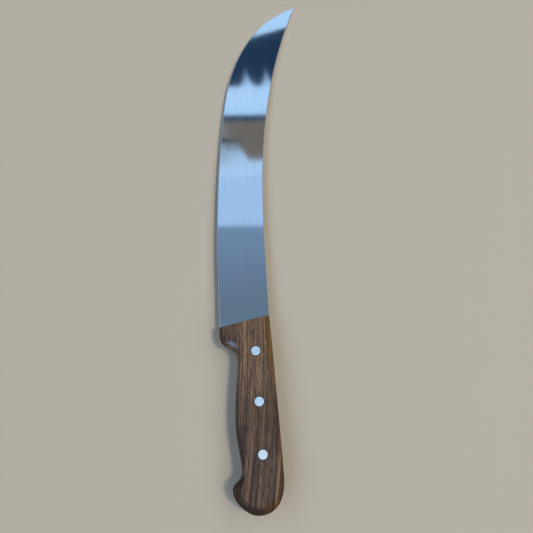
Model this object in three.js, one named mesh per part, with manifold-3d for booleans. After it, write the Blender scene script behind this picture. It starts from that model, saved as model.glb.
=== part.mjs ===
// Cimeter: a butcher's knife with a long upswept blade and a riveted wooden handle.
// Millimetres, +Z up. The knife lies on its right side: X points from the cutting edge to the
// spine, Y runs along the row of rivets towards the tip, and the origin is on the lower face of
// the handle, on the rivet row, midway between the front and the middle rivet.

import * as THREE from 'three';
import { mergeVertices } from 'three/addons/utils/BufferGeometryUtils.js';
import Module from 'manifold-3d';

// Blade, one steel blank with a tang as long as the handle
const STOCK_THICKNESS = 2.5; // the tang, left as rolled
const GRIND_DEPTH = 0.1; // steel ground off each side of the stock, at the spine
const TIP_THICKNESS = 1.1; // the spine's thickness where its taper runs out at the point
const SHOULDER_THICKNESS = 0.5; // behind the edge bevel, over the straight heel stretch
const BEVEL_WIDTH = 0.7; // the sharpened strip along the edge
const BLADE_LENGTH = 252; // handle front to tip, along the rivet row
const HEEL_DEPTH = 34.8; // edge to spine where the blade leaves the handle
const SPINE_DISTANCE = 10.9; // rivet row to spine, at the handle front
const TIP_SWEEP = 38.8; // how far the tip is swept back beyond the spine of the heel
const HEEL_STRAIGHT = 50; // straight stretch of spine and edge ahead of the handle
const SPINE_LEAN = 0.8; // degrees from the rivet row
const SPINE_LEAD = 92; // length of the spine curve's tangent at the heel
const SPINE_TIP_LEAD = 60; // and at the tip
const SPINE_TIP_ANGLE = 23.5; // degrees from the rivet row
const EDGE_LEAN = 1.15;
const EDGE_LEAD = 37;
const BELLY_DISTANCE = 11; // rivet row to the edge, where its long sweep turns into the round belly
const BELLY_TO_TIP = 83; // from there to the tip, along the rivet row
const BELLY_ANGLE = 10.5;
const BELLY_LEAD_HEEL = 33;
const BELLY_LEAD_TIP = 42;
const EDGE_TIP_LEAD = 34;
const EDGE_TIP_ANGLE = 73;
const BLADE_ROOT = 3; // the ground blade's start, inside the front of the tang
const BLADE_STEPS = 36;

// Handle outline, the same on the tang and on both scales
const FRONT_SLANT = 10.5; // degrees, the square front cut against the blade
const FRONT_TO_RIVET = 21.7; // front cut to the front rivet, along the rivet row
const RIVET_TO_BUTT = 36.8; // rear rivet to the end of the butt
const HANDLE_PROUD = 0.1; // handle over the blade's spine and heel at the front
const GUARD_LENGTH = 5.3; // straight side of the finger guard, behind the front cut
const GUARD_TO_NECK = 17.9; // length of the guard's rear curve
const GUARD_ROUND = 11; // tangent length of that curve at the guard
const NECK_ROUND = 12.4; // and at the neck
const NECK_DISTANCE = 12.7; // rivet row to the belly side, at its narrowest behind the guard
const NECK_LEAD = 8.6;
const SWELL_DISTANCE = 16.6; // rivet row to the belly side, at its fullest
const SWELL_TO_BUTT = 52.7;
const SWELL_LEAD_FRONT = 25.6;
const SWELL_LEAD_REAR = 8.4;
const WAIST_DISTANCE = 14.1; // rivet row to the belly side, ahead of the hook
const WAIST_TO_BUTT = 26.8;
const WAIST_LEAD_FRONT = 9.5;
const WAIST_LEAD_REAR = 6.5;
const HOOK_DISTANCE = 20.8; // rivet row to the tip of the hook
const HOOK_TO_BUTT = 16;
const HOOK_LEAD_FRONT = 4.3;
const HOOK_LEAD_REAR = 7.2;
const BUTT_DISTANCE = 4.2; // rivet row to the lowest point of the butt, on the belly side
const BUTT_LEAD_BELLY = 7.8;
const BUTT_LEAD_SPINE = 10.2;
const REAR_DISTANCE = 12.7; // rivet row to the spine side, at its fullest
const REAR_TO_BUTT = 23.3;
const REAR_LEAD_BUTT = 16;
const REAR_LEAD_FRONT = 13;
const BACK_LEAN = 1.3; // degrees, the spine side's inward lean at the front cut
const BACK_LEAD = 31.4;
const OUTLINE_STEPS = 12; // straight steps in each curve of the outline

// Scales: flat side faces inside a rounded rim, whose width changes along the outline
const SCALE_THICKNESS = 7.75;
const ROLL_HEIGHT = 5; // how far down the side the rounding reaches
const ROLL_ARC = 70; // degrees of the quarter round that is left before the flat face
const ROLL_STEPS = 6;
const GUARD_ROLL = 2; // rim width at the guard's side
const GUARD_REAR_ROLL = 4.5; // and along the guard's rear curve
const BELLY_ROLL = 2.6;
const HOOK_ROLL = 5.2;
const BUTT_ROLL = 5.5;
const REAR_ROLL = 5.5;
const SPINE_ROLL = 4;

// Rivets: a sleeve from the right side and a pin pressed into it from the left
const RIVET_PITCH = 33;
const HEAD_DIAMETER = 6.35;
const HEAD_THICKNESS = 1.6;
const SLEEVE_DIAMETER = 4.2;
const SLEEVE_PAST_CENTRE = 4.5; // sleeve end beyond the middle of the handle
const PIN_DIAMETER = 2.8;
const PIN_ENGAGEMENT = 6; // length of pin inside the sleeve
const BORE_SPARE = 1; // bore beyond the end of the pin
const BORE_CLEARANCE = 0.1; // radial
const HOLE_CLEARANCE = 0.15; // radial, sleeve in scales and tang
const SEAT_CLEARANCE = 0.1; // radial, head in its seat
const RIVET_SIDES = 32;
const CUT_MARGIN = 1; // cutting tools reach this far past the faces that they open
const MERGE_DISTANCE = 1e-4; // corners closer than this are one corner
const QUARTER_ROUND_TANGENT = 0.5523; // tangent length of a quarter circle of radius one

const { Vector2, Vector3, MathUtils } = THREE;
const wasm = await Module();
wasm.setup();

// Heights of the flat faces, from the right scale's outer face up to the left one's
const tangBottom = SCALE_THICKNESS;
const tangTop = tangBottom + STOCK_THICKNESS;
const handleTop = tangTop + SCALE_THICKNESS;
const centreHeight = tangBottom + STOCK_THICKNESS / 2;

// Places along the rivet row
const rivetRows = { front: RIVET_PITCH / 2, middle: -RIVET_PITCH / 2, rear: -1.5 * RIVET_PITCH };
const frontY = rivetRows.front + FRONT_TO_RIVET;
const buttY = rivetRows.rear - RIVET_TO_BUTT;
const heelEdgeX = SPINE_DISTANCE - HEEL_DEPTH;
const spineThickness = STOCK_THICKNESS - 2 * GRIND_DEPTH;

// A direction in the knife's side view, by its angle from the rivet row towards the spine
function heading(degrees) {
  const angle = MathUtils.degToRad(degrees);
  return new Vector2(Math.sin(angle), Math.cos(angle));
}

// The point of the slanted front cut at a distance x from the rivet row
function onFrontCut(x) {
  return new Vector2(x, frontY + x * Math.tan(MathUtils.degToRad(FRONT_SLANT)));
}

// The geometry as a closed solid for joins and cuts, with shared corners merged
function toSolid(geometry) {
  const bare = geometry.clone();
  bare.deleteAttribute('normal');
  bare.deleteAttribute('uv');
  const merged = mergeVertices(bare, MERGE_DISTANCE);
  const corners = [];
  for (let i = 0; i < merged.index.count; i += 3) {
    const [a, b, c] = [0, 1, 2].map((k) => merged.index.getX(i + k));
    if (a !== b && b !== c && c !== a) corners.push(a, b, c);
  }
  return new wasm.Manifold(new wasm.Mesh({
    numProp: 3,
    vertProperties: Float32Array.from(merged.attributes.position.array),
    triVerts: Uint32Array.from(corners),
  }));
}

function fromSolid(solid) {
  const { vertProperties, triVerts } = solid.getMesh();
  const geometry = new THREE.BufferGeometry();
  geometry.setAttribute('position', new THREE.BufferAttribute(vertProperties, 3));
  geometry.setIndex(new THREE.BufferAttribute(triVerts, 1));
  geometry.computeVertexNormals();
  return geometry;
}

// A skin over a row of closed loops of corners, each loop with as many corners as the next.
// flatten gives a corner's place in the loops' plane, where each loop runs anticlockwise as seen
// from the last one. The first loop is capped, and the last too, unless the skin ends in a point.
function loft(loops, flatten, point) {
  const count = loops[0].length;
  const corners = loops.flat();
  const triangles = [];
  for (let row = 0; row + 1 < loops.length; row++) {
    for (let i = 0; i < count; i++) {
      const next = (i + 1) % count;
      const [a, b] = [row * count + i, row * count + next];
      triangles.push(a, b, b + count, a, b + count, a + count);
    }
  }
  const cap = THREE.ShapeUtils.triangulateShape(loops[0].map(flatten), []);
  for (const [a, b, c] of cap) triangles.push(a, c, b);
  const last = corners.length - count;
  if (point) {
    corners.push(point);
    for (let i = 0; i < count; i++) triangles.push(last + i, last + (i + 1) % count, corners.length - 1);
  } else {
    const lid = THREE.ShapeUtils.triangulateShape(loops.at(-1).map(flatten), []);
    for (const face of lid) triangles.push(...face.map((i) => last + i));
  }
  const geometry = new THREE.BufferGeometry().setFromPoints(corners);
  geometry.setIndex(triangles);
  geometry.computeVertexNormals();
  return geometry;
}

// A smooth curve through stations. Each station has its point, its heading, and the lengths of its
// tangents towards the station before and towards the one after.
function curveThrough(stations) {
  const path = new THREE.CurvePath();
  for (let i = 1; i < stations.length; i++) {
    const [from, to] = [stations[i - 1], stations[i]];
    const leave = from.at.clone().addScaledVector(heading(from.angle), from.after);
    const arrive = to.at.clone().addScaledVector(heading(to.angle), -to.before);
    path.add(new THREE.CubicBezierCurve(from.at, leave, arrive, to.at));
  }
  return path;
}

function station(x, y, angle, before, after) {
  return { at: new Vector2(x, y), angle, before, after };
}

// The handle's outline from the guard's front corner round the butt to the spine's front corner.
// With the rolls given, it is the border of the flat side face instead, with tighter rounds.
function handleOutline(roll) {
  const [towardsTip, towardsSpine, towardsButt] = [0, 90, 180];
  const guardX = heelEdgeX - HANDLE_PROUD;
  const guardY = onFrontCut(guardX).y - GUARD_LENGTH + roll.guardRear;
  const guardFront = onFrontCut(guardX + roll.guard);
  const backFront = onFrontCut(SPINE_DISTANCE + HANDLE_PROUD - roll.spine);
  const inside = (lead, width) => lead - QUARTER_ROUND_TANGENT * width;
  const path = curveThrough([
    station(guardX + roll.guard, guardY, towardsButt, 0, GUARD_ROUND),
    station(roll.belly - NECK_DISTANCE, guardY - GUARD_TO_NECK, towardsButt, NECK_ROUND, NECK_LEAD),
    station(
      roll.belly - SWELL_DISTANCE, buttY + SWELL_TO_BUTT, towardsButt,
      SWELL_LEAD_FRONT, SWELL_LEAD_REAR,
    ),
    station(
      roll.belly - WAIST_DISTANCE, buttY + WAIST_TO_BUTT, towardsButt,
      WAIST_LEAD_FRONT, WAIST_LEAD_REAR,
    ),
    station(
      roll.hook - HOOK_DISTANCE, buttY + HOOK_TO_BUTT, towardsButt,
      HOOK_LEAD_FRONT, inside(HOOK_LEAD_REAR, roll.hook),
    ),
    station(
      -BUTT_DISTANCE, buttY + roll.butt, towardsSpine,
      inside(BUTT_LEAD_BELLY, roll.butt), inside(BUTT_LEAD_SPINE, roll.butt),
    ),
    station(
      REAR_DISTANCE - roll.rear, buttY + REAR_TO_BUTT, towardsTip,
      inside(REAR_LEAD_BUTT, roll.rear), REAR_LEAD_FRONT,
    ),
    station(backFront.x, backFront.y, -BACK_LEAN, BACK_LEAD, 0),
  ]);
  return [guardFront, ...path.getPoints(OUTLINE_STEPS)];
}

const NO_ROLL = { guard: 0, guardRear: 0, belly: 0, hook: 0, butt: 0, rear: 0, spine: 0 };
const outline = handleOutline(NO_ROLL);
const flatBorder = handleOutline({
  guard: GUARD_ROLL,
  guardRear: GUARD_REAR_ROLL,
  belly: BELLY_ROLL,
  hook: HOOK_ROLL,
  butt: BUTT_ROLL,
  rear: REAR_ROLL,
  spine: SPINE_ROLL,
});

// A straight round cutting tool along Z, placed on a rivet's axis
function drill(radius, bottom, top, y) {
  const tool = new THREE.CylinderGeometry(radius, radius, top - bottom, RIVET_SIDES);
  tool.rotateX(Math.PI / 2);
  tool.translate(0, y, (bottom + top) / 2);
  return toSolid(tool);
}

const holeRadius = SLEEVE_DIAMETER / 2 + HOLE_CLEARANCE;
const seatRadius = HEAD_DIAMETER / 2 + SEAT_CLEARANCE;

// The ground blade: five-cornered sections from the heel to the point, thinning towards the tip.
// Each section has two spine corners, two shoulders behind the bevel, and the cutting edge.
function groundBlade() {
  const tip = new Vector2(SPINE_DISTANCE + TIP_SWEEP, frontY + BLADE_LENGTH);

  function longSide(heelX, lean, lead, laterStations) {
    const heel = onFrontCut(heelX);
    const bend = heel.clone().addScaledVector(heading(lean), HEEL_STRAIGHT);
    const sweep = curveThrough([station(bend.x, bend.y, lean, 0, lead), ...laterStations]);
    const root = heel.clone().sub(new Vector2(0, BLADE_ROOT));
    return [root, ...sweep.getSpacedPoints(BLADE_STEPS)];
  }

  const spine = longSide(SPINE_DISTANCE, SPINE_LEAN, SPINE_LEAD, [
    station(tip.x, tip.y, SPINE_TIP_ANGLE, SPINE_TIP_LEAD, 0),
  ]);
  const edge = longSide(heelEdgeX, EDGE_LEAN, EDGE_LEAD, [
    station(-BELLY_DISTANCE, tip.y - BELLY_TO_TIP, BELLY_ANGLE, BELLY_LEAD_HEEL, BELLY_LEAD_TIP),
    station(tip.x, tip.y, EDGE_TIP_ANGLE, EDGE_TIP_LEAD, 0),
  ]);
  const sections = [];
  for (let i = 0; i <= BLADE_STEPS; i++) {
    const along = Math.max(0, i - 1) / BLADE_STEPS;
    const thickness = MathUtils.lerp(spineThickness, TIP_THICKNESS, along * along);
    const spineHalf = thickness / 2;
    const shoulderHalf = (spineHalf * SHOULDER_THICKNESS) / spineThickness;
    const across = spine[i].clone().sub(edge[i]).normalize();
    const shoulder = edge[i].clone().addScaledVector(across, BEVEL_WIDTH);
    const corner = (p, side) => new Vector3(p.x, p.y, centreHeight + side);
    sections.push([
      corner(edge[i], 0),
      corner(shoulder, shoulderHalf),
      corner(spine[i], spineHalf),
      corner(spine[i], -spineHalf),
      corner(shoulder, -shoulderHalf),
    ]);
  }
  const point = new Vector3(tip.x, tip.y, centreHeight);
  return loft(sections, (p) => new Vector2(p.z, p.x), point);
}

function makeBlade() {
  const tangShape = new THREE.Shape(outline);
  const tang = new THREE.ExtrudeGeometry(tangShape, { depth: STOCK_THICKNESS, bevelEnabled: false });
  tang.translate(0, 0, tangBottom);
  let blade = toSolid(tang).add(toSolid(groundBlade()));
  for (const y of Object.values(rivetRows)) {
    blade = blade.subtract(drill(holeRadius, tangBottom - CUT_MARGIN, tangTop + CUT_MARGIN, y));
  }
  return fromSolid(blade);
}

// A scale lies flat on the tang, stands up straight, then rolls over to its flat side face.
// side is 1 for the left scale, above the tang, and -1 for the right one, below it.
function makeScale(side) {
  const inner = side > 0 ? tangTop : tangBottom;
  const outer = side > 0 ? handleTop : 0;
  const loops = [outline.map((p) => new Vector3(p.x, p.y, inner))];
  const arc = MathUtils.degToRad(ROLL_ARC);
  for (let step = 0; step <= ROLL_STEPS; step++) {
    const angle = (arc * step) / ROLL_STEPS;
    const inward = (1 - Math.cos(angle)) / (1 - Math.cos(arc));
    const below = ROLL_HEIGHT * (1 - Math.sin(angle) / Math.sin(arc));
    const height = outer - side * below;
    loops.push(outline.map((p, i) => {
      const q = p.clone().lerp(flatBorder[i], inward);
      return new Vector3(q.x, q.y, height);
    }));
  }
  if (side < 0) loops.reverse();
  let scale = toSolid(loft(loops, (p) => new Vector2(p.x, p.y)));
  const seat = outer - side * HEAD_THICKNESS;
  const past = outer + side * CUT_MARGIN;
  for (const y of Object.values(rivetRows)) {
    scale = scale.subtract(drill(holeRadius, -CUT_MARGIN, handleTop + CUT_MARGIN, y));
    scale = scale.subtract(drill(seatRadius, Math.min(seat, past), Math.max(seat, past), y));
  }
  return fromSolid(scale);
}

// Rivet halves are turned about their own axis, from the middle of the head's flat face
const sleeveLength = handleTop / 2 + SLEEVE_PAST_CENTRE;
const pinLength = handleTop - sleeveLength + PIN_ENGAGEMENT;

function turned(profile) {
  const points = profile.map(([radius, height]) => new Vector2(radius, height));
  const geometry = new THREE.LatheGeometry(points, RIVET_SIDES);
  geometry.rotateX(Math.PI / 2);
  return geometry;
}

function makeSleeve() {
  const head = HEAD_DIAMETER / 2;
  const shank = SLEEVE_DIAMETER / 2;
  const bore = PIN_DIAMETER / 2 + BORE_CLEARANCE;
  const boreEnd = sleeveLength - PIN_ENGAGEMENT - BORE_SPARE;
  return turned([
    [0, 0], [head, 0], [head, HEAD_THICKNESS], [shank, HEAD_THICKNESS], [shank, sleeveLength],
    [bore, sleeveLength], [bore, boreEnd], [0, boreEnd],
  ]);
}

function makePin() {
  const head = HEAD_DIAMETER / 2;
  const shank = PIN_DIAMETER / 2;
  return turned([
    [0, handleTop - pinLength], [shank, handleTop - pinLength], [shank, handleTop - HEAD_THICKNESS],
    [head, handleTop - HEAD_THICKNESS], [head, handleTop], [0, handleTop],
  ]);
}

const knife = new THREE.Group();

function add(name, geometry, finish) {
  const mesh = new THREE.Mesh(geometry, new THREE.MeshStandardMaterial(finish));
  mesh.name = name;
  knife.add(mesh);
  return mesh;
}

const GROUND_STEEL = { color: 0x9fb0c2, roughness: 0.22, metalness: 1 };
const ROSEWOOD = { color: 0x5e4334, roughness: 0.45, metalness: 0 };
const NICKEL_SILVER = { color: 0xd9dee2, roughness: 0.35, metalness: 1 };

add('blade', makeBlade(), GROUND_STEEL);
add('left_scale', makeScale(1), ROSEWOOD);
add('right_scale', makeScale(-1), ROSEWOOD);
for (const [place, y] of Object.entries(rivetRows)) {
  add(`${place}_rivet_sleeve`, makeSleeve(), NICKEL_SILVER).position.y = y;
  add(`${place}_rivet_pin`, makePin(), NICKEL_SILVER).position.y = y;
}

export default knife;
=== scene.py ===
# Looks of a butcher's cimeter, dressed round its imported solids. Metres, in the solids' own frame:
# the knife lies on its right side, +X towards the spine, +Y towards the tip, +Z up.
import math

import bmesh
import bpy
from mathutils import Matrix, Vector


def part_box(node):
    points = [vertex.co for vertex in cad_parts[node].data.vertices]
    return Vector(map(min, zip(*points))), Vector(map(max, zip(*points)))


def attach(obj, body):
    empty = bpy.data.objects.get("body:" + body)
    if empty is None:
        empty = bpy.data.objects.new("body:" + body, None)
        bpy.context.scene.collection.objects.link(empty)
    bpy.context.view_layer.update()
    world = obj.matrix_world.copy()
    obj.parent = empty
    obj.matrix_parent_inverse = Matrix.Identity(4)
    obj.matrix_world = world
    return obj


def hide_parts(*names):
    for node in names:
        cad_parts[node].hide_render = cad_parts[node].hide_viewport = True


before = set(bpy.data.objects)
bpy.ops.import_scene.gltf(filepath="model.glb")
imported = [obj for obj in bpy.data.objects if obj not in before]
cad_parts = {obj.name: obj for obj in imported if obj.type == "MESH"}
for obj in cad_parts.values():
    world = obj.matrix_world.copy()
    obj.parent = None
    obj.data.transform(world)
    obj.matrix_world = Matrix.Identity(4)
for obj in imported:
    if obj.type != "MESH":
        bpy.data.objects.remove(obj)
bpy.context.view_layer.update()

# Blade
# One blank of stainless steel: a full-length tang left as rolled, and ahead of it the long upswept
# blade, ground thin on both flanks with lines across its length and polished close to a mirror.
CORNER_GAP = 1e-6
EDGE_BEVEL_REACH = 0.0009
SPINE_ROUND = 0.0003
SPINE_ROUND_STEPS = 5
SPINE_CORNER_ANGLE = math.radians(45)
CRISP_ANGLE = math.radians(20)
STEEL = (0.66, 0.67, 0.68, 1)
STEEL_SMUDGED = (0.61, 0.62, 0.63, 1)
# Painted shade: the tang's rim between the scales, darkened as if it lay in shade
TANG_PAINTED_SHADE = (0.3, 0.3, 0.3, 1)
# Blotches of each noise to a metre, along X, Y and Z
GRIND_LINES = (40, 4000, 40)
BUFFING_STREAKS = (1500, 12, 1500)
SMUDGES = (90, 60, 90)
NOISE_MIDDLE = 0.5
SMUDGE_SPAN = (0.62, 0.78)
SMUDGE_WEAR = 0.6
LINE_WEAR = 0.8
LINE_UNWORN = 0.3
STREAK_WEAR = 1.2
STEEL_ROUGHNESS = 0.045
SMUDGE_ROUGHNESS = 0.02
STREAK_ROUGHNESS = 0.03
TANG_ROUGHNESS = 0.4
GRIND_DEPTH = 1e-6
GRIND_STRENGTH = 0.5
STREAK_DEPTH = 2
FRONT_SLANT = math.radians(10.5)
POLISH_END = (-0.0008, -0.0003)


def merged_copy(node):
    """A bmesh of a CAD node, with the corners of its loose triangles joined."""
    shape = bmesh.new()
    shape.from_mesh(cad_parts[node].data)
    bmesh.ops.remove_doubles(shape, verts=shape.verts, dist=CORNER_GAP)
    return shape


def border(shape, faces):
    """The edges where a set of faces meets the others."""
    return [e for e in shape.edges if len(faces & set(e.link_faces)) == 1]


def round_off(shape, edges, radius, steps):
    """Rounds edges over and gives the faces of the rounding."""
    made = bmesh.ops.bevel(
        shape, geom=edges, offset=radius, offset_type="OFFSET",
        segments=steps, profile=0.5, affect="EDGES", material=-1,
    )
    return set(made["faces"])


def add_piece(name, shape, finish, node, crisp_edges):
    """Turns a bmesh into a piece that stands for a CAD node, smooth but for its crisp edges."""
    for face in shape.faces:
        face.smooth = True
    for edge in shape.edges:
        edge.smooth = edge.calc_face_angle(0) < CRISP_ANGLE
    for edge in crisp_edges:
        edge.smooth = False
    mesh = bpy.data.meshes.new(name)
    shape.to_mesh(mesh)
    shape.free()
    flat_normals = mesh.attributes.get("custom_normal")
    if flat_normals:
        mesh.attributes.remove(flat_normals)
    mesh.materials.clear()
    mesh.materials.append(finish)
    piece = bpy.data.objects.new(name, mesh)
    bpy.context.scene.collection.objects.link(piece)
    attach(piece, "root")
    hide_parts(node)


class Shade:
    """A socket in a node tree. Arithmetic on it adds Math nodes."""

    def __init__(self, tree, socket=None):
        self.tree = tree
        self.socket = socket

    def node(self, kind, settings=None, sockets=None, output=0):
        """Adds a node: first its settings, ramp stops among them, then its sockets' values or links."""
        made = self.tree.nodes.new(kind)
        for name, value in (settings or {}).items():
            if name == "stops":
                stops = made.color_ramp.elements
                while len(stops) < len(value):
                    stops.new(1)
                for stop, (place, colour) in zip(stops, value):
                    stop.position = place
                    stop.color = colour
            else:
                setattr(made, name, value)
        for name, value in (sockets or {}).items():
            if isinstance(value, Shade):
                self.tree.links.new(value.socket, made.inputs[name])
            else:
                made.inputs[name].default_value = value
        return Shade(self.tree, made.outputs[output])

    def other(self, output):
        """Another output of the node that this socket belongs to."""
        return Shade(self.tree, self.socket.node.outputs[output])

    def maths(self, operation, *values):
        """A Math node on one or two values."""
        return self.node("ShaderNodeMath", {"operation": operation}, dict(enumerate(values)))

    def __add__(self, value):
        return self.maths("ADD", self, value)

    def __sub__(self, value):
        return self.maths("SUBTRACT", self, value)

    def __rsub__(self, value):
        return self.maths("SUBTRACT", value, self)

    def __mul__(self, value):
        return self.maths("MULTIPLY", self, value)

    def __truediv__(self, value):
        return self.maths("DIVIDE", self, value)

    def __abs__(self):
        return self.maths("ABSOLUTE", self)

    __radd__ = __add__
    __rmul__ = __mul__

    def at_least(self, least):
        """This value, or the least one where it is below that."""
        return self.maths("MAXIMUM", self, least)

    def rises(self, start, end):
        """0 up to start, 1 from end on, and a smooth rise between them."""
        return self.node(
            "ShaderNodeMapRange",
            {"interpolation_type": "SMOOTHSTEP"},
            {"Value": self, "From Min": start, "From Max": end},
        )

    def falls(self, start, end):
        """1 up to start, 0 from end on, and a smooth fall between them."""
        return 1 - self.rises(start, end)

    def noise(self, blotches, detail):
        """Noise over this vector, with so many blotches to a metre along each axis."""
        spread = self.node("ShaderNodeVectorMath", {"operation": "MULTIPLY"}, {0: self, 1: blotches})
        return self.node("ShaderNodeTexNoise", {}, {"Vector": spread, "Scale": 1, "Detail": detail})

    def distance(self, point):
        """How far this vector lies from a point."""
        return self.node("ShaderNodeVectorMath", {"operation": "DISTANCE"}, {0: self, 1: point}, "Value")

    def parts(self):
        """The X, Y and Z of this vector."""
        x = self.node("ShaderNodeSeparateXYZ", {}, {"Vector": self})
        return x, x.other("Y"), x.other("Z")

    def mixed(self, first, second):
        """The first colour where this socket is 0, the second where it is 1."""
        return self.node("ShaderNodeMix", {"data_type": "RGBA"}, {0: self, 6: first, 7: second}, 2)


def new_finish(name):
    """A material: its Principled node's sockets, and a Shade of the place on the piece."""
    finish = bpy.data.materials.new(name)
    finish.use_nodes = True
    sockets = finish.node_tree.nodes["Principled BSDF"].inputs
    place = Shade(finish.node_tree).node("ShaderNodeTexCoord", output="Object")
    return finish, sockets, place


def feed(socket, shade):
    """Links a Shade to a shader's socket."""
    shade.tree.links.new(shade.socket, socket)


def ground_steel():
    """Polished steel with fine grind lines across it, buffing streaks along it and a few smudges."""
    finish, sockets, place = new_finish("ground_steel")
    lines = place.noise(GRIND_LINES, detail=3)
    streaks = place.noise(BUFFING_STREAKS, detail=2) - NOISE_MIDDLE
    smudges = place.noise(SMUDGES, detail=3).rises(*SMUDGE_SPAN)
    worn = SMUDGE_WEAR * smudges + LINE_WEAR * (lines - LINE_UNWORN) + STREAK_WEAR * streaks
    polished = worn.mixed(STEEL, STEEL_SMUDGED)
    polish = STEEL_ROUGHNESS + SMUDGE_ROUGHNESS * smudges + STREAK_ROUGHNESS * streaks

    # The polish ends just behind the slanted front of the handle; behind it the tang is duller, as left
    # rolled, and darkened as painted shade on its rim between the scales
    x, y, _ = place.parts()
    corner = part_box("left_scale")[1]
    ahead = y - corner.y - math.tan(FRONT_SLANT) * (x - corner.x)
    tang = ahead.falls(*POLISH_END)
    feed(sockets["Base Color"], tang.mixed(polished, TANG_PAINTED_SHADE))
    feed(sockets["Roughness"], polish + (TANG_ROUGHNESS - STEEL_ROUGHNESS) * tang)
    sockets["Metallic"].default_value = 1
    scratches = lines + STREAK_DEPTH * streaks
    bumps = place.node(
        "ShaderNodeBump", {}, {"Strength": GRIND_STRENGTH, "Distance": GRIND_DEPTH, "Height": scratches}
    )
    feed(sockets["Normal"], bumps)
    return finish


blade = merged_copy("blade")
low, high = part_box("blade")
middle_height = (low.z + high.z) / 2
tang_half = (high.z - low.z) / 2
ground = [v for v in blade.verts if abs(v.co.z - middle_height) < tang_half - CORNER_GAP]
cutting = {v for v in ground if abs(v.co.z - middle_height) < CORNER_GAP}
shoulder = {
    v for v in ground
    if v not in cutting and min((v.co - c.co).length for c in cutting) < EDGE_BEVEL_REACH
}
spine = set(ground) - cutting - shoulder


def lines_along(corners):
    """The edges between corners of one line down the blade, on the same flank."""
    return [
        e for e in blade.edges
        if set(e.verts) <= corners
        and (e.verts[0].co.z - middle_height) * (e.verts[1].co.z - middle_height) >= 0
    ]


crisp_lines = lines_along(cutting) + lines_along(shoulder)
spine_lines = [
    e for e in lines_along(spine)
    if e.calc_face_angle() > SPINE_CORNER_ANGLE
    and abs(e.verts[0].co.y - e.verts[1].co.y) > abs(e.verts[0].co.x - e.verts[1].co.x)
]
spine_corners = round_off(blade, spine_lines, SPINE_ROUND, SPINE_ROUND_STEPS)
crisp_lines += border(blade, spine_corners)
add_piece("ground_blade", blade, ground_steel(), "blade", crisp_lines)

# Handle scales
# Two slabs of oiled rosewood, mirror images of each other, sawn and sanded flush with the tang. The
# faces are flat, the rims rolled over by hand, and both lie on the tang under the same rivets.
FRONT_ROUND = 0.00035
FRONT_ROUND_STEPS = 2
FRONT_FACING = 0.9
UPRIGHT = 0.1
HEARTWOOD_DARK = (0.025, 0.0115, 0.0065, 1)
HEARTWOOD = (0.1, 0.064, 0.042, 1)
HEARTWOOD_LIGHT = (0.215, 0.136, 0.077, 1)
HEARTWOOD_RED = (0.12, 0.054, 0.03, 1)
# Painted light: gold on the spine side's front rim, which faces the lamp
LIT_RIM_GOLD_DARK = (0.045, 0.021, 0.005, 1)
LIT_RIM_GOLD_LIGHT = (0.165, 0.093, 0.026, 1)
# Painted light: amber on the spine side of the butt's end, which faces the lamp
LIT_BUTT_AMBER_DARK = (0.03, 0.012, 0.0015, 1)
LIT_BUTT_AMBER_LIGHT = (0.172, 0.068, 0.006, 1)
GRAIN_LEAN = 0.08
GRAIN_BOW = 0.68
GRAIN_TILT = 0.15
GRAIN_WANDER = 0.0016
# Blotches of each noise to a metre: the first and the last along X, Y and Z, the others across the
# grain, along it and down into the wood
WANDERS = (70, 22, 70)
BANDS = (190, 6, 60)
GROWTH_LINES = (950, 11, 120)
VEINS = (450, 8, 60)
FIBRES = (2200, 160, 1200)
PORES = (1600, 330, 1500)
REDDENINGS = (420, 14, 100)
POLISH_WEAR = (700, 900, 700)
VEIN_HALF = 0.05
PORE_SPAN = (0.57, 0.7)
# Tones run from 0, the dark heartwood, to 1, the light
REAR_TONE = 0.28
FRONT_LIGHTER = 0.36
FRONT_SPAN = (-0.022, 0.002)
GUARD_DARKER = 0.3
GUARD_ACROSS = (-0.013, -0.006)
GUARD_ALONG = (0.012, 0.02)
BAND_TONE = 0.3
GROWTH_TONE = 2
VEIN_TONE = 0.28
FIBRE_TONE = 1.6
PORE_TONE = 0.35
CALM_SHARE = 0.6
CALM_ACROSS = (0.005, 0.008)
CALM_ALONG = (-0.06, -0.045)
# Each growth streak that stands out: its place across the grain, half its width, its rear and front
# ends along the handle, and how it changes the tone
STREAKS = (
    (-0.0160, 0.0005, 0.005, 0.060, -0.3),
    (-0.0105, 0.0058, -0.100, -0.024, -0.28),
    (-0.0102, 0.0005, -0.012, 0.030, -0.3),
    (-0.0088, 0.0011, -0.030, 0.060, 0.1),
    (-0.0066, 0.0006, -0.100, 0.060, -0.3),
    (-0.0043, 0.0006, -0.100, -0.055, -0.35),
    (-0.0031, 0.0005, -0.100, -0.055, 0.3),
    (-0.0018, 0.0008, -0.100, -0.016, 0.38),
    (0.0002, 0.0008, -0.100, -0.044, -0.6),
    (0.0012, 0.0007, -0.060, -0.006, -0.5),
    (0.0010, 0.0004, 0.000, 0.060, -0.26),
    (0.0012, 0.0036, -0.012, 0.022, 0.12),
    (0.0021, 0.0007, -0.100, -0.056, 0.38),
    (0.0026, 0.0010, -0.030, 0.060, 0.16),
    (0.0037, 0.0006, -0.100, -0.054, -0.4),
    (0.0042, 0.0007, -0.012, 0.060, -0.32),
    (0.0054, 0.0007, -0.100, -0.054, 0.34),
    (0.0095, 0.0007, -0.016, 0.006, -0.4),
    (0.0098, 0.0026, 0.000, 0.060, 0.28),
    (0.0135, 0.0006, -0.056, -0.004, -0.2),
    (0.0153, 0.0008, -0.100, -0.050, -0.4),
    (0.0168, 0.0012, -0.094, -0.044, 0.5),
)
STREAK_CORE = 0.3
STREAK_SKIRT = 1.2
STREAK_FADE = 0.014
RIVET_RING = 0.0006
RIVET_RING_DARKER = 0.3
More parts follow.
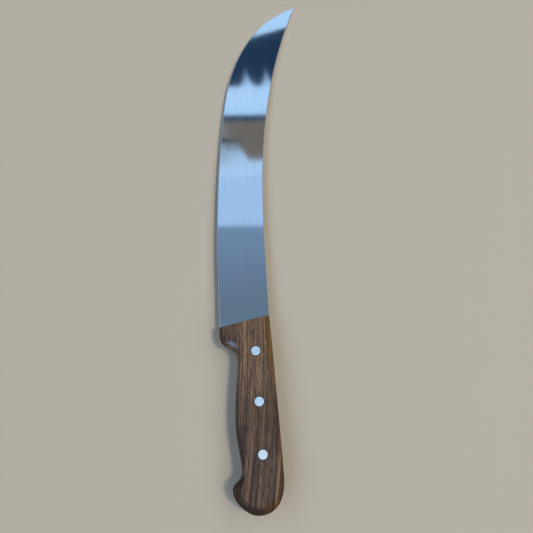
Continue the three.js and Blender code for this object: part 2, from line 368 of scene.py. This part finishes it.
# Darker where the butt faces back on the edge side: partly end grain, partly painted shade away from the
# lamp
END_GRAIN_AND_SHADE_DARK = 0.95
END_GRAIN_FACING = (0.05, 0.45)
END_GRAIN_ALONG = (-0.06, 0)
SPINE_SIDE = (-0.0055, 0.003)
RED_SHARE = 0.3
RED_SPAN = (0.42, 0.66)
RED_TONES = (0.1, 0.4)
# Painted shade: gold and amber darken where the rolled rims face sideways
SIDE_SHADE_DARKER = 0.25
# Painted light: the gold band on the spine side's front rim
LIT_RIM_SHARE = 0.9
LIT_RIM_WAVER = 0.006
LIT_RIM_ACROSS = (0.006, 0.0078)
LIT_RIM_ALONG = (-0.008, 0.01)
# Painted light: the amber glow on the lamp side of the butt's end
LIT_BUTT_SHARE = 0.9
LIT_BUTT_LIGHTER = 0.1
LIT_BUTT_FACING = (0.1, 0.45)
LIT_BUTT_ALONG = (-0.06, -0.04)
WOOD_ROUGHNESS = 0.4
FIBRE_ROUGHNESS = 0.12
PORE_ROUGHNESS = 0.2
END_GRAIN_ROUGHNESS = 0.35
WOOD_SPECULAR = 0.36
FIBRE_DEPTH = 0.00003
FIBRE_STRENGTH = 0.3
FINGER_POLISH = (-0.0143, 0.0228, 0)
FINGER_POLISH_REACH = 0.0065
FINGER_POLISH_FADE = (0.2, 0.9)
FINGER_POLISH_ROUGHNESS = 0.2
FINGER_POLISH_IOR = 2.4
FLAT_FACING = (0.94, 0.99)
rivet_boxes = [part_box(node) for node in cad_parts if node.endswith("_rivet_pin")]
rivet_rows = [(low.y + high.y) / 2 for low, high in rivet_boxes]
rivet_radius = max(high.x - low.x for low, high in rivet_boxes) / 2


def rosewood():
    """Straight dark and light growth streaks down the handle, with fibres and short open pores."""
    finish, sockets, place = new_finish("rosewood")
    x, y, z = place.parts()
    plan = place.node("ShaderNodeCombineXYZ", {}, {"X": x, "Y": y})
    normal = place.node("ShaderNodeNewGeometry", output="Normal")
    facing_across, facing_along, facing_up = normal.parts()
    facing_across = abs(facing_across)
    facing_along = abs(facing_along)

    # The grain leans and bows along the handle, and is sawn at a small angle to its faces
    wander = GRAIN_WANDER * (place.noise(WANDERS, detail=1) - NOISE_MIDDLE)
    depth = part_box("left_scale")[1].z - z
    across = x - GRAIN_LEAN * y + GRAIN_BOW * y * y + GRAIN_TILT * depth + wander
    grain = place.node("ShaderNodeCombineXYZ", {}, {"X": across, "Y": y, "Z": z})
    bands = grain.noise(BANDS, detail=2) - NOISE_MIDDLE
    lines = grain.noise(GROWTH_LINES, detail=3) - NOISE_MIDDLE
    veins = abs(grain.noise(VEINS, detail=1) - NOISE_MIDDLE).falls(0, VEIN_HALF)
    fibres = grain.noise(FIBRES, detail=2) - NOISE_MIDDLE
    pores = grain.noise(PORES, detail=1).rises(*PORE_SPAN)

    # Tone: lighter towards the front, calmer on the butt's spine side, darker in end grain and painted
    # shade
    guard = x.falls(*GUARD_ACROSS) * y.rises(*GUARD_ALONG)
    tone = REAR_TONE + FRONT_LIGHTER * y.rises(*FRONT_SPAN) - GUARD_DARKER * guard
    calm = 1 - CALM_SHARE * across.rises(*CALM_ACROSS) * y.falls(*CALM_ALONG)
    tone = tone + calm * (BAND_TONE * bands + GROWTH_TONE * lines - VEIN_TONE * veins)
    tone = tone + FIBRE_TONE * fibres - PORE_TONE * pores
    for streak, half_width, rear, front, change in STREAKS:
        inside = abs(across - streak).falls(STREAK_CORE * half_width, STREAK_SKIRT * half_width)
        along = y.rises(rear, rear + STREAK_FADE) * y.falls(front - STREAK_FADE, front)
        tone = tone + change * inside * along
    spine_side = x.rises(*SPINE_SIDE)
    end_grain = facing_along.rises(*END_GRAIN_FACING) * y.falls(*END_GRAIN_ALONG)
    # Painted shade: the butt's end is darkened only on the edge side, away from the lamp; end grain
    # darkens it too
    tone = tone * (1 - END_GRAIN_AND_SHADE_DARK * end_grain * (1 - spine_side))
    for row in rivet_rows:
        ring = plan.distance((0, row, 0)).falls(rivet_radius, rivet_radius + RIVET_RING)
        tone = tone - RIVET_RING_DARKER * ring

    # Colour: brown heartwood, some red, and painted light in gold and amber on the lamp-side rims
    colour = tone.node(
        "ShaderNodeValToRGB",
        {"stops": [(0, HEARTWOOD_DARK), (0.5, HEARTWOOD), (1, HEARTWOOD_LIGHT)]},
        {"Fac": tone},
    )
    red = grain.noise(REDDENINGS, detail=2).rises(*RED_SPAN) * tone.rises(*RED_TONES)
    colour = (RED_SHARE * red).mixed(colour, HEARTWOOD_RED)
    # Painted shade: darker where the rims face sideways
    shaded_side_tone = tone - SIDE_SHADE_DARKER * facing_across
    lit_rim_gold = shaded_side_tone.mixed(LIT_RIM_GOLD_DARK, LIT_RIM_GOLD_LIGHT)
    # Painted light: a gold band where the spine-side rim faces the lamp
    lit_rim = (x + LIT_RIM_WAVER * bands).rises(*LIT_RIM_ACROSS) * y.rises(*LIT_RIM_ALONG)
    colour = (LIT_RIM_SHARE * lit_rim).mixed(colour, lit_rim_gold)
    # Painted light: amber where the butt's end is lit on the spine side
    lit_butt_amber = (shaded_side_tone + LIT_BUTT_LIGHTER).mixed(LIT_BUTT_AMBER_DARK, LIT_BUTT_AMBER_LIGHT)
    lit_butt = spine_side * y.falls(*LIT_BUTT_ALONG) * facing_along.rises(*LIT_BUTT_FACING)
    feed(sockets["Base Color"], (LIT_BUTT_SHARE * lit_butt).mixed(colour, lit_butt_amber))

    # Finish: oiled, duller in pores and end grain, and polished by fingers behind the guard
    roughness = WOOD_ROUGHNESS + FIBRE_ROUGHNESS * fibres + PORE_ROUGHNESS * pores
    feed(sockets["Roughness"], roughness + END_GRAIN_ROUGHNESS * end_grain)
    sockets["Specular IOR Level"].default_value = WOOD_SPECULAR
    worn = place.noise(POLISH_WEAR, detail=1) - NOISE_MIDDLE
    rubbed = (plan.distance(FINGER_POLISH) / FINGER_POLISH_REACH + worn).falls(*FINGER_POLISH_FADE)
    feed(sockets["Coat Weight"], rubbed * facing_up.falls(*FLAT_FACING))
    sockets["Coat Roughness"].default_value = FINGER_POLISH_ROUGHNESS
    sockets["Coat IOR"].default_value = FINGER_POLISH_IOR
    bumps = place.node(
        "ShaderNodeBump", {},
        {"Strength": FIBRE_STRENGTH, "Distance": FIBRE_DEPTH, "Height": fibres - pores},
    )
    feed(sockets["Normal"], bumps)
    return finish


def at_height(part, height):
    """Whether a face or an edge lies flat at a height."""
    return all(abs(v.co.z - height) < CORNER_GAP for v in part.verts)


def flat_faces(shape, height):
    """The faces that lie flat at a height."""
    return {f for f in shape.faces if at_height(f, height)}


wood = rosewood()
for node in ("left_scale", "right_scale"):
    scale = merged_copy(node)
    low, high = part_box(node)
    outer, inner = (high.z, low.z) if node == "left_scale" else (low.z, high.z)
    flats = flat_faces(scale, outer) | flat_faces(scale, inner)
    sides = [f for f in scale.faces if f not in flats]
    bmesh.ops.join_triangles(
        scale, faces=sides, angle_face_threshold=CRISP_ANGLE, angle_shape_threshold=math.pi
    )
    front = {
        f for f in scale.faces
        if f.normal.y > FRONT_FACING and abs(f.normal.z) < UPRIGHT
        and f.calc_center_median().y > max(rivet_rows)
    }
    front_edges = [e for e in border(scale, front) if not at_height(e, inner)]
    round_off(scale, front_edges, FRONT_ROUND, FRONT_ROUND_STEPS)
    add_piece(node + "_wood", scale, wood, node, border(scale, flat_faces(scale, outer)))

# Rivets
# Three two-part cutler's rivets of nickel silver: a solid pin pressed into a hollow sleeve, with
# flat heads let into the scales and ground flush with the wood.
NICKEL = (0.79, 0.8, 0.79, 1)
NICKEL_DULL = (0.65, 0.66, 0.66, 1)
CLOUDS = (700, 700, 700)
CLOUD_SPAN = (0.45, 0.75)
GRIME = (0.09, 0.07, 0.055, 1)
GRIME_WIDTH = 0.00022
NICKEL_ROUGHNESS = 0.09
CLOUD_ROUGHNESS = 0.08
GRIME_ROUGHNESS = 0.5
HEAD_THICKNESS = 0.0016
HEAD_ROUND = 0.00016
HEAD_ROUND_STEPS = 5
SLEEVE_RADIUS = 0.0021
PIN_RADIUS = 0.0014
BORE_RADIUS = 0.0015
BORE_SPARE = 0.001
TURNED_STEPS = 48


def nickel_silver():
    """Ground flush and rubbed: bright, with faint cloudy patches and grime round the head."""
    finish, sockets, place = new_finish("nickel_silver")
    clouds = place.noise(CLOUDS, detail=3)
    plan = place.node("ShaderNodeVectorMath", {"operation": "MULTIPLY"}, {0: place, 1: (1, 1, 0)})
    grime = 1
    for row in rivet_rows:
        from_axis = plan.distance((0, row, 0))
        grime = grime * from_axis.rises(rivet_radius - GRIME_WIDTH, rivet_radius - GRIME_WIDTH / 2)
    metal = clouds.rises(*CLOUD_SPAN).mixed(NICKEL, NICKEL_DULL)
    feed(sockets["Base Color"], grime.mixed(metal, GRIME))
    roughness = NICKEL_ROUGHNESS + CLOUD_ROUGHNESS * clouds + GRIME_ROUGHNESS * grime
    feed(sockets["Roughness"], roughness)
    sockets["Metallic"].default_value = 1
    return finish


nickel = nickel_silver()
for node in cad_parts:
    if "_rivet_" in node:
        low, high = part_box(node)
        axis = (low + high) / 2
        head_radius = (high.x - low.x) / 2
        if node.endswith("_pin"):
            outer, under_head = high.z, high.z - HEAD_THICKNESS
            shank = [(PIN_RADIUS, under_head), (PIN_RADIUS, low.z), (0, low.z)]
        else:
            outer, under_head = low.z, low.z + HEAD_THICKNESS
            bore_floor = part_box(node.replace("_sleeve", "_pin"))[0].z - BORE_SPARE
            shank = [(SLEEVE_RADIUS, under_head), (SLEEVE_RADIUS, high.z), (BORE_RADIUS, high.z)]
            shank += [(BORE_RADIUS, bore_floor), (0, bore_floor)]
        profile = [(0, outer), (head_radius, outer), (head_radius, under_head)] + shank
        rivet = bmesh.new()
        corners = [rivet.verts.new((axis.x + radius, axis.y, height)) for radius, height in profile]
        line = [rivet.edges.new(pair) for pair in zip(corners, corners[1:])]
        bmesh.ops.spin(
            rivet, geom=corners + line, cent=axis, axis=(0, 0, 1), angle=2 * math.pi,
            steps=TURNED_STEPS, use_merge=True,
        )
        bmesh.ops.remove_doubles(rivet, verts=rivet.verts, dist=CORNER_GAP)
        bmesh.ops.recalc_face_normals(rivet, faces=rivet.faces)
        head_rim = border(rivet, flat_faces(rivet, outer))
        round_off(rivet, head_rim, HEAD_ROUND, HEAD_ROUND_STEPS)
        add_piece(node + "_turned", rivet, nickel, node, border(rivet, flat_faces(rivet, outer)))

# Table top
# A plain pale surface. The knife is heavier ahead of its handle, so it rests on the lower front
# edge of the handle and on its tip, and the surface is tilted against it by as much.
TABLE_NORMAL = Vector((0.00628, -0.03514, 0.99936))
TABLE_DROP = 0.00134
TABLE_HALF = 2.5
TABLE_COLOUR = (0.465, 0.452, 0.405, 1)
TABLE_ROUGHNESS = 0.7
TABLE_SPECULAR = 0.2

table_finish, sockets = new_finish("pale_table")[:2]
sockets["Base Color"].default_value = TABLE_COLOUR
sockets["Roughness"].default_value = TABLE_ROUGHNESS
sockets["Specular IOR Level"].default_value = TABLE_SPECULAR
table = bmesh.new()
bmesh.ops.create_grid(table, x_segments=1, y_segments=1, size=TABLE_HALF)
tilt = Vector((0, 0, 1)).rotation_difference(TABLE_NORMAL).to_matrix().to_4x4()
drop = Matrix.Translation(-TABLE_DROP * TABLE_NORMAL)
bmesh.ops.transform(table, matrix=drop @ tilt, verts=table.verts)
mesh = bpy.data.meshes.new("table_top")
table.to_mesh(mesh)
table.free()
mesh.materials.append(table_finish)
table_top = bpy.data.objects.new("table_top", mesh)
bpy.context.scene.collection.objects.link(table_top)

# Camera
# Held over the handle and aimed at the middle of the blade, as the photograph was taken. Its lens
# is as long as its sensor is wide.
CAMERA_PLACE = Vector((-0.0001, -0.01613, 0.37719))
CAMERA_AIM = Vector((0.01177, 0.07611, 0.009))
CAMERA_ROLL = math.radians(3.166)
CAMERA_LENS = 36
CAMERA_SENSOR = 36
CAMERA_NEAREST = 0.01

camera = bpy.data.objects.new("camera", bpy.data.cameras.new("camera"))
camera.data.sensor_width = CAMERA_SENSOR
camera.data.lens = CAMERA_LENS
camera.data.clip_start = CAMERA_NEAREST
camera.location = CAMERA_PLACE
camera.rotation_mode = "QUATERNION"
level = (CAMERA_AIM - CAMERA_PLACE).to_track_quat("-Z", "Y").to_matrix()
turned = level @ Matrix.Rotation(CAMERA_ROLL, 3, "Z")
camera.rotation_quaternion = turned.to_quaternion()
bpy.context.scene.collection.objects.link(camera)
bpy.context.scene.camera = camera

# Lamp
# One round soft lamp, warm, hung high on the spine side and a little behind. Its shadow falls past
# the cutting edge.
LAMP_TILT = math.radians(22.5)
LAMP_BEARING = math.radians(-8)
LAMP_DISTANCE = 3
LAMP_SIZE = 0.45
LAMP_POWER = 31
LAMP_COLOUR = (1, 0.83, 0.63)

lamp = bpy.data.objects.new("lamp", bpy.data.lights.new("lamp", "AREA"))
lamp.data.shape = "DISK"
lamp.data.size = LAMP_SIZE
lamp.data.energy = LAMP_POWER
lamp.data.color = LAMP_COLOUR
towards_lamp = Vector((
    math.sin(LAMP_TILT) * math.cos(LAMP_BEARING),
    math.sin(LAMP_TILT) * math.sin(LAMP_BEARING),
    math.cos(LAMP_TILT),
))
lamp.location = towards_lamp * LAMP_DISTANCE
lamp.rotation_mode = "QUATERNION"
lamp.rotation_quaternion = (-towards_lamp).to_track_quat("-Z", "Y")
bpy.context.scene.collection.objects.link(lamp)

# Studio
# Two broad ceiling panels either side of the knife give soft light, cool on the edge side. Metal
# mirrors another ceiling, of pale panels with dark flags and a shelf between them, and a window.
# Places on a ceiling are shares of its height: to the spine side, and ahead along the knife.
HORIZON = 0.001
WALL_FILL = (0.02, 0.02, 0.02, 1)
FILL_EDGE_SIDE = (1.33, 1.54, 1.83, 1)
FILL_SPINE_SIDE = (1.87, 1.77, 1.63, 1)
FILL_TURN = (-0.1, 0.1)
FILL_INNER = (0.25, 0.4)
FILL_OUTER = (1.1, 1.5)
FILL_ENDS = (1, 1.5)
BACKDROP = (0.68, 0.68, 0.67, 1)
MIRRORED_WALL = (0.45, 0.46, 0.48, 1)
MIRRORED_CEILING = (0.27, 0.38, 0.51, 1)
WALL_TOP = (0.3, 0.7)
SHADED_WALL = (0.32, 0.33, 0.35, 1)
SHADED_WALL_SPAN = (-0.6, -0.2)
PANELS_SIDES = (0.3, 0.4)
PANELS_REAR = (-0.5, -0.4)
PANELS_FRONT = (1.6, 2.2)
PANEL_OVERHEAD = (0.7, 0.89, 1.12, 1)
PANEL_FAR = (0.6, 0.95, 1.4, 1)
FLAG = (0.02, 0.05, 0.11, 1)
# For each panel or flag: where it starts ahead, how softly, how its edge slants, and its colour
NEAR_PANELS = (
    (-0.08, 0.08, 0, (0.55, 0.82, 1.12, 1)),
    (0.115, 0.03, 0, (0.17, 0.26, 0.38, 1)),
    (0.17, 0.16, 0, (0.22, 0.35, 0.55, 1)),
    (0.332, 0.004, 0.093, (0.5, 0.78, 1.21, 1)),
    (0.449, 0.003, 0, (0.57, 0.88, 1.27, 1)),
)
FAR_PANELS = (
    (0.5765, 0.0055, 0, FLAG),
    (0.592, 0.005, 0, PANEL_FAR),
)
FAR_RIPPLE = 0.006
LAST_PANELS = ((0.81, 0.018, -0.4, PANEL_FAR),)
# Blotches of each noise to the ceiling's height, to the side and ahead
FLUTTER = (110, 0, 0)
CEILING_STREAKS = (420, 8, 0)
SHELF = (0.215, 0.195, 0.17, 1)
SHELF_PALE = (0.27, 0.28, 0.31, 1)
SHELF_DARK = (0.05, 0.055, 0.065, 1)
SHELF_START = (0.478, 0.494)
SHELF_WAVER = 0.03
SHELF_MOTTLE = 0.8
SHELF_LEFT = (-0.064, -0.036)
SHELF_LEFT_STEP = 0.043
SHELF_LEFTMOST = (-0.085, -0.066)
HAZE = 0.3
HAZE_STREAKS = 0.9
HAZE_START = (0.455, 0.53)
HAZE_LEFTMOST = 0.2
HAZE_LEFTMOST_START = (0.46, 0.5)
SHELF_GAP = 0.5
SHELF_GAP_LEFTMOST = 0.4
SHELF_GAP_START = (0.528, 0.531)
SHELF_GAP_END = (0.538, 0.542)
SMEAR = 0.45
SMEAR_SIDE = (-0.092, -0.08)
SMEAR_START = (0.504, 0.52)
SMEAR_END = (0.53, 0.534)
LONG_FLAG_START = 0.66
LONG_FLAG_SOFTNESS = 0.014
# The pale notches in the long flag: place to the side and half width
NOTCHES = ((-0.021, 0.021), (0.0225, 0.018))
NOTCH_DEPTH = 0.06
WINDOW = (0.6, 1.0, 1.8, 1)
WINDOW_TOWARDS = Vector((-0.5, -0.65, 0.6)).normalized()
WINDOW_CORE = math.radians(10.4)
WINDOW_SKIRT = math.radians(15.6)

world = bpy.data.worlds.new("studio")
world.use_nodes = True
bpy.context.scene.world = world
direction = Shade(world.node_tree).node("ShaderNodeTexCoord", output="Generated")
x, y, z = direction.parts()
height = z.at_least(HORIZON)
side = x / height
ahead = y / height
ceiling = direction.node("ShaderNodeCombineXYZ", {}, {"X": side, "Y": ahead})
flutter = ceiling.noise(FLUTTER, detail=1) - NOISE_MIDDLE
streaks = ceiling.noise(CEILING_STREAKS, detail=2) - NOISE_MIDDLE


def hung(colour, panels, ripple):
    """A colour of the ceiling with panels over it, one behind the other."""
    for start, softness, slant, panel in panels:
        edge = ahead + slant * side + ripple * flutter
        colour = edge.rises(start, start + softness).mixed(colour, panel)
    return colour


# The near panels, and the shelf ahead of them, whose left part starts further on behind a haze
colour = hung(PANEL_OVERHEAD, NEAR_PANELS, 0)
left = (side + SHELF_WAVER * streaks).falls(*SHELF_LEFT)
leftmost = side.falls(*SHELF_LEFTMOST)
haze = left * ahead.rises(*HAZE_START) * (HAZE + HAZE_STREAKS * streaks)
haze = haze + HAZE_LEFTMOST * leftmost * ahead.rises(*HAZE_LEFTMOST_START)
colour = haze.mixed(colour, SHELF)
shelf = (leftmost + SHELF_MOTTLE * streaks).mixed(SHELF, SHELF_PALE)
shelf_edge = ahead - SHELF_LEFT_STEP * left + SHELF_WAVER * streaks
colour = shelf_edge.rises(*SHELF_START).mixed(colour, shelf)
gap = left * ahead.rises(*SHELF_GAP_START) * ahead.falls(*SHELF_GAP_END)
gap = gap * (SHELF_GAP + SHELF_GAP_LEFTMOST * leftmost)
smear = SMEAR * left * side.rises(*SMEAR_SIDE) * ahead.rises(*SMEAR_START) * ahead.falls(*SMEAR_END)
colour = (gap + smear).mixed(colour, SHELF_DARK)

# The far panels, and the long flag with its notches
colour = hung(colour, FAR_PANELS, FAR_RIPPLE)
notches = 0
for notch_side, half_width in NOTCHES:
    notch = (1 - abs(side - notch_side) / half_width).at_least(0)
    notches = notches + notch * notch
flag_fade = LONG_FLAG_SOFTNESS + NOTCH_DEPTH * notches
colour = ((ahead - LONG_FLAG_START) / flag_fade).rises(0, 1).mixed(colour, FLAG)
colour = hung(colour, LAST_PANELS, 0)

# The walls round the mirrored ceiling, and the window
on_panels = abs(side).falls(*PANELS_SIDES) * ahead.rises(*PANELS_REAR) * ahead.falls(*PANELS_FRONT)
mirrored = height.rises(*WALL_TOP).mixed(MIRRORED_WALL, MIRRORED_CEILING)
mirrored = y.falls(*SHADED_WALL_SPAN).mixed(mirrored, SHADED_WALL)
mirrored = on_panels.mixed(mirrored, colour)
nearness = direction.node(
    "ShaderNodeVectorMath", {"operation": "DOT_PRODUCT"}, {0: direction, 1: WINDOW_TOWARDS}, "Value"
)
window = nearness.rises(math.cos(WINDOW_SKIRT), math.cos(WINDOW_CORE))
mirrored = window.mixed(mirrored, WINDOW)

# The two panels that light the knife, and what each kind of ray meets
fill = side.rises(*FILL_TURN).mixed(FILL_EDGE_SIDE, FILL_SPINE_SIDE)
on_fill = abs(side).rises(*FILL_INNER) * abs(side).falls(*FILL_OUTER) * abs(ahead).falls(*FILL_ENDS)
fill = on_fill.mixed(WALL_FILL, fill)
camera_ray = direction.node("ShaderNodeLightPath", output="Is Camera Ray")
light = camera_ray.other("Is Glossy Ray").mixed(fill, mirrored)
light = camera_ray.mixed(light, BACKDROP)
feed(world.node_tree.nodes["Background"].inputs["Color"], light)
bpy.context.scene.view_settings.view_transform = "Standard"
